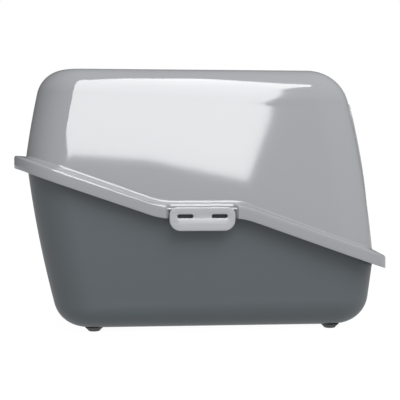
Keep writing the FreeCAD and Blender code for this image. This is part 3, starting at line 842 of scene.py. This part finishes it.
# %% Shared node groups
def shader_group(name, inputs, outputs):
    """A shader node group with its sockets, and its group input and output nodes."""
    group = bpy.data.node_groups.new(name, "ShaderNodeTree")
    for label, kind, default in inputs:
        group.interface.new_socket(label, in_out="INPUT", socket_type=kind).default_value = default
    for label, kind in outputs:
        group.interface.new_socket(label, in_out="OUTPUT", socket_type=kind)
    return group, group.nodes.new("NodeGroupInput"), group.nodes.new("NodeGroupOutput")


def add_node(tree, kind, settings):
    """A new node with these plain values on its inputs."""
    node = tree.nodes.new(kind)
    for label, value in settings.items():
        node.inputs[label].default_value = value
    return node


def new_material(name, settings):
    """A material with these plain values on its shader; returns it with its tree and the shader."""
    material = bpy.data.materials.new(name)
    material.use_nodes = True
    shader = material.node_tree.nodes["Principled BSDF"]
    for label, value in settings.items():
        shader.inputs[label].default_value = value
    return material, material.node_tree, shader


def math_node(tree, operation, first, second):
    """A maths node whose two inputs are sockets or plain numbers."""
    node = tree.nodes.new("ShaderNodeMath")
    node.operation = operation
    for index, value in enumerate((first, second)):
        if isinstance(value, (int, float)):
            node.inputs[index].default_value = value
        else:
            tree.links.new(value, node.inputs[index])
    return node.outputs[0]


def noise_node(tree, vector, scale, detail):
    """A noise texture at a vector, with its scale from a socket."""
    node = add_node(tree, "ShaderNodeTexNoise", {"Detail": detail})
    tree.links.new(vector, node.inputs["Vector"])
    tree.links.new(scale, node.inputs["Scale"])
    return node.outputs["Fac"]


def build_moulded_surface():
    """Clouds and specks of colour, rubbing marks in the roughness, and a grain for the relief."""
    inputs = [("Colour", "NodeSocketColor", (0.3, 0.3, 0.3, 1)), ("Colour Spread", "NodeSocketFloat", 0.03),
              ("Roughness", "NodeSocketFloat", 0.3), ("Roughness Spread", "NodeSocketFloat", 0.05),
              ("Cloud Scale", "NodeSocketFloat", 9.0), ("Grain Scale", "NodeSocketFloat", 1400.0)]
    outputs = [("Colour", "NodeSocketColor"), ("Roughness", "NodeSocketFloat"), ("Height", "NodeSocketFloat")]
    group, entry, leave = shader_group("moulded_surface", inputs, outputs)
    link = group.links.new
    place = group.nodes.new("ShaderNodeTexCoord").outputs["Object"]
    clouds = noise_node(group, place, entry.outputs["Cloud Scale"], 4.0)
    grain = noise_node(group, place, entry.outputs["Grain Scale"], 2.0)
    stretch = add_node(group, "ShaderNodeMapping", {"Scale": (0.06, 1.0, 1.0), "Rotation": (0.2, 0.5, 0.1)})
    link(place, stretch.inputs["Vector"])
    marks_scale = math_node(group, "MULTIPLY", entry.outputs["Cloud Scale"], 26.0)
    marks = noise_node(group, stretch.outputs["Vector"], marks_scale, 3.0)
    colour_spread = entry.outputs["Colour Spread"]
    tone = math_node(group, "MULTIPLY", math_node(group, "SUBTRACT", clouds, 0.5), colour_spread)
    speck = math_node(group, "MULTIPLY", math_node(group, "SUBTRACT", grain, 0.5), colour_spread)
    level = math_node(group, "ADD", math_node(group, "ADD", tone, speck), 1.0)
    scale_colour = group.nodes.new("ShaderNodeVectorMath")
    scale_colour.operation = "SCALE"
    link(entry.outputs["Colour"], scale_colour.inputs[0])
    link(level, scale_colour.inputs["Scale"])
    link(scale_colour.outputs["Vector"], leave.inputs["Colour"])
    more_than_usual = math_node(group, "SUBTRACT", marks, 0.42)
    rub = math_node(group, "MULTIPLY", more_than_usual, entry.outputs["Roughness Spread"])
    rough = math_node(group, "MAXIMUM", math_node(group, "ADD", entry.outputs["Roughness"], rub), 0.02)
    link(rough, leave.inputs["Roughness"])
    link(grain, leave.inputs["Height"])
    return group


def build_rubbed_edges():
    """Paler colour on outward edges, in patches."""
    inputs = [("Colour", "NodeSocketColor", (0.3, 0.3, 0.3, 1)), ("Amount", "NodeSocketFloat", 0.3)]
    group, entry, leave = shader_group("rubbed_edges", inputs, [("Colour", "NodeSocketColor")])
    link = group.links.new
    shape = group.nodes.new("ShaderNodeNewGeometry").outputs["Pointiness"]
    sharp = add_node(group, "ShaderNodeMapRange", {"From Min": 0.515, "From Max": 0.60})
    link(shape, sharp.inputs["Value"])
    place = group.nodes.new("ShaderNodeTexCoord").outputs["Object"]
    patch = add_node(group, "ShaderNodeTexNoise", {"Scale": 60.0})
    link(place, patch.inputs["Vector"])
    mask = math_node(group, "MULTIPLY", sharp.outputs["Result"], patch.outputs["Fac"])
    mask = math_node(group, "MULTIPLY", mask, entry.outputs["Amount"])
    paler = group.nodes.new("ShaderNodeVectorMath")
    paler.operation = "SCALE"
    link(entry.outputs["Colour"], paler.inputs[0])
    link(math_node(group, "ADD", mask, 1.0), paler.inputs["Scale"])
    link(paler.outputs["Vector"], leave.inputs["Colour"])
    return group


moulded_surface = build_moulded_surface()
rubbed_edges = build_rubbed_edges()
print("shared groups:", moulded_surface.name, rubbed_edges.name)

# %% A moulded plastic with its own values
def moulded_plastic(name, colour, roughness, settings, grain_depth=0.02, wear=0.3):
    """A plastic from the shared groups; settings go to the moulded surface, the depth is in mm."""
    material, tree, shader = new_material(name, {"IOR": 1.5, "Specular IOR Level": 0.5})
    surface = tree.nodes.new("ShaderNodeGroup")
    surface.node_tree = moulded_surface
    for label, value in {"Colour": (*colour, 1), "Roughness": roughness, **settings}.items():
        surface.inputs[label].default_value = value
    edges = tree.nodes.new("ShaderNodeGroup")
    edges.node_tree = rubbed_edges
    edges.inputs["Amount"].default_value = wear
    bump = add_node(tree, "ShaderNodeBump", {"Distance": grain_depth * mm, "Strength": 1.0})
    tree.links.new(surface.outputs["Colour"], edges.inputs["Colour"])
    tree.links.new(edges.outputs["Colour"], shader.inputs["Base Color"])
    tree.links.new(surface.outputs["Roughness"], shader.inputs["Roughness"])
    tree.links.new(surface.outputs["Height"], bump.inputs["Height"])
    tree.links.new(bump.outputs["Normal"], shader.inputs["Normal"])
    return material


light_grey, pale_grey, dark_grey = (0.330, 0.335, 0.352), (0.42, 0.43, 0.455), (0.10, 0.112, 0.122)
polished = {"Colour Spread": 0.015, "Roughness Spread": 0.03, "Grain Scale": 500.0}
satin = {"Colour Spread": 0.05, "Roughness Spread": 0.08}
plastics = {
    "hood_plastic": (light_grey, 0.055, polished, 0.0015, 0.12),
    "tray_plastic": ((0.094, 0.110, 0.121), 0.34, satin, 0.02, 0.25),
    "clip_plastic": (pale_grey, 0.27, {"Roughness Spread": 0.06}, 0.01, 0.15),
    "frame_plastic": (light_grey, 0.25, {}, 0.015),
    "handle_plastic": (pale_grey, 0.3, {}, 0.012),
    "cover_plastic": (dark_grey, 0.32, {}, 0.015),
    "foot_rubber": ((0.088, 0.090, 0.094), 0.55, {"Colour Spread": 0.1, "Grain Scale": 900.0}, 0.03, 0.2),
    "flap_plastic": ((0.36, 0.38, 0.40), 0.12, {"Roughness Spread": 0.1}, 0.02, 0.2),
}
finishes = {name: moulded_plastic(name, *values) for name, values in plastics.items()}
finishes["flap_plastic"].node_tree.nodes["Principled BSDF"].inputs["Alpha"].default_value = 0.4
print("finishes:", sorted(finishes))

# %% [markdown]
# ## Charcoal felt
#
# The pad is needled felt full of charcoal dust: nearly black, quite rough, with a soft fuzz that
# catches light at grazing angles. Two noises, one for fibres and one for lumps, give its relief.

# %% Felt for the pad
felt, felt_tree, felt_shader = new_material(
    "charcoal_felt", {"Sheen Weight": 0.35, "Sheen Roughness": 0.5, "Roughness": 0.95})
felt_place = felt_tree.nodes.new("ShaderNodeTexCoord").outputs["Object"]
fibres = add_node(felt_tree, "ShaderNodeTexNoise", {"Scale": 1600.0, "Detail": 4.0})
lumps = add_node(felt_tree, "ShaderNodeTexVoronoi", {"Scale": 420.0})
felt_tones = felt_tree.nodes.new("ShaderNodeValToRGB")
felt_tones.color_ramp.elements[0].color = (0.008, 0.008, 0.009, 1)
felt_tones.color_ramp.elements[1].color = (0.05, 0.05, 0.052, 1)
felt_relief = add_node(felt_tree, "ShaderNodeBump", {"Distance": 0.3 * mm})
felt_tree.links.new(felt_place, fibres.inputs["Vector"])
felt_tree.links.new(felt_place, lumps.inputs["Vector"])
felt_tree.links.new(fibres.outputs["Fac"], felt_tones.inputs["Fac"])
felt_tree.links.new(felt_tones.outputs["Color"], felt_shader.inputs["Base Color"])
felt_height = math_node(felt_tree, "ADD", fibres.outputs["Fac"], lumps.outputs["Distance"])
felt_tree.links.new(felt_height, felt_relief.inputs["Height"])
felt_tree.links.new(felt_relief.outputs["Normal"], felt_shader.inputs["Normal"])

# %% [markdown]
# ## Put the pieces on their bodies
#
# Each finished piece rides on the body it belongs to and stands for one of the frame's solids. The
# door frame, the flap, the carry handle and the filter cover have their right shape in the frame, so
# they stay, and only get a finish.

# %% Ride, replace and paint
def place_piece(piece, body, slot_name, material, *stands_for):
    """Give a piece its finish and its body, and hide the solids it stands for; slot_name is not used."""
    piece.data.materials.clear()
    piece.data.materials.append(material)
    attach(piece, body)
    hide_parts(*stands_for)


foot_nodes = ["foot_rear_left", "foot_rear_right", "foot_front_left", "foot_front_right"]
place_piece(hood, "hood", "hood_plastic", finishes["hood_plastic"], "hood")
place_piece(tray, "tray", "tray_plastic", finishes["tray_plastic"], "tray")
place_piece(clip_left, "clip_left", "clip_plastic", finishes["clip_plastic"], "clip_left")
place_piece(clip_right, "clip_right", "clip_plastic", finishes["clip_plastic"], "clip_right")
place_piece(feet, "tray", "foot_rubber", finishes["foot_rubber"], *foot_nodes)
place_piece(pad, "hood", "charcoal", felt, "charcoal_filter")
kept_nodes = {"door_frame": "frame_plastic", "door_flap": "flap_plastic", "carry_handle": "handle_plastic",
              "filter_cover": "cover_plastic"}
for node_name, finish_name in kept_nodes.items():
    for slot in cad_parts[node_name].material_slots:
        slot.material = finishes[finish_name]
print("pieces placed")

# %% [markdown]
# ## Floor, room and light
#
# The box stands on a white table in a white room. The room is brightest in front of the box and
# dimmer behind and on the left, which draws the soft dark edges on the plastic. A large soft light
# from the front lights the box and throws the soft shade under its rim. A tall pale screen leans over
# the camera; it is there for the glossy hood, which mirrors it as one large bright shape. Its outline
# is given by how far each point stands to the side, in metres, and by its share of the slope up.

# %% Floor and room
def only_for_camera(tree, strength_socket, seen, otherwise):
    """Feed a strength that is one number for the camera and another for all other rays."""
    path = tree.nodes.new("ShaderNodeLightPath")
    choose = tree.nodes.new("ShaderNodeMix")
    choose.inputs["B"].default_value = seen
    if isinstance(otherwise, float):
        choose.inputs["A"].default_value = otherwise
    else:
        tree.links.new(otherwise, choose.inputs["A"])
    tree.links.new(path.outputs["Is Camera Ray"], choose.inputs["Factor"])
    tree.links.new(choose.outputs["Result"], strength_socket)


floor_mesh = bpy.data.meshes.new("floor")
reach = 30.0
floor_corners = [(-reach, -reach, 0), (reach, -reach, 0), (reach, reach, 0), (-reach, reach, 0)]
floor_mesh.from_pydata(floor_corners, [], [(0, 1, 2, 3)])
floor = bpy.data.objects.new("floor", floor_mesh)
scene.collection.objects.link(floor)
floor_material, floor_tree, floor_shader = new_material("floor_white", {
    "Base Color": (0.10, 0.10, 0.10, 1), "Roughness": 0.9, "Specular IOR Level": 0.0,
    "Emission Color": (1, 1, 1, 1)})
only_for_camera(floor_tree, floor_shader.inputs["Emission Strength"], 0.97, 0.50)
floor_mesh.materials.append(floor_material)

world = bpy.data.worlds.new("white_room")
scene.world = world
world.use_nodes = True
nodes, links = world.node_tree.nodes, world.node_tree.links
background = nodes["Background"]
direction = nodes.new("ShaderNodeTexCoord")
towards = nodes.new("ShaderNodeVectorMath")
towards.operation = "DOT_PRODUCT"
towards.inputs[1].default_value = (0.46, -0.80, 0.38)
brightness = add_node(world.node_tree, "ShaderNodeMapRange",
                      {"From Min": -0.85, "From Max": 0.45, "To Min": 0.10, "To Max": 0.72})
brightness.interpolation_type = "SMOOTHSTEP"
links.new(direction.outputs["Generated"], towards.inputs[0])
links.new(towards.outputs["Value"], brightness.inputs["Value"])
only_for_camera(world.node_tree, background.inputs["Strength"], 1.0, brightness.outputs["Result"])
background.inputs["Color"].default_value = (1, 1, 1, 1)
scene.view_settings.view_transform = "Standard"

# %% The soft front light
front_light = bpy.data.lights.new("front_light", "AREA")
front_light.shape = "RECTANGLE"
front_light.size, front_light.size_y = 1.8, 1.4
front_light.energy = 34.0
front_lamp = bpy.data.objects.new("front_light", front_light)
scene.collection.objects.link(front_lamp)
front_lamp.location = (0.55, -1.7, 1.9)
front_lamp.rotation_euler = (Vector((0, 0, 0.2)) - front_lamp.location).to_track_quat("-Z", "Y").to_euler()
front_lamp.visible_glossy = False
front_lamp.visible_camera = False

# %% The tall pale screen
screen_foot, screen_slope = Vector((0, -2.5, 1.01)), Vector((0, 1.85, 1.936))
screen_low_edge = [(-0.53, 0.022), (-0.02, 0.008), (0.40, -0.028)]
screen_right_side = [(0.475, 0.080), (0.525, 0.60), (0.61, 0.765), (0.84, 0.93)]
screen_upper_end = [(0.62, 1.02), (0.33, 1.38), (-0.07, 1.18), (-0.22, 0.93)]
screen_left_side = [(-0.55, 0.75), (-0.72, 0.56), (-0.86, 0.25), (-1.04, 0.11)]
screen_outline = screen_low_edge + screen_right_side + screen_upper_end + screen_left_side
screen_points = [screen_foot + screen_slope * rise + Vector((x, 0, 0)) for x, rise in screen_outline]
screen_mesh = bpy.data.meshes.new("pale_screen")
screen_mesh.from_pydata(screen_points, [], [tuple(range(len(screen_points)))])
screen = bpy.data.objects.new("pale_screen", screen_mesh)
scene.collection.objects.link(screen)
glow = new_material("pale_screen_glow", {
    "Base Color": (0, 0, 0, 1), "Emission Color": (1, 1, 1, 1), "Emission Strength": 11.0})[0]
screen_mesh.materials.append(glow)
screen.visible_camera = False
screen.visible_diffuse = False
screen.visible_shadow = False
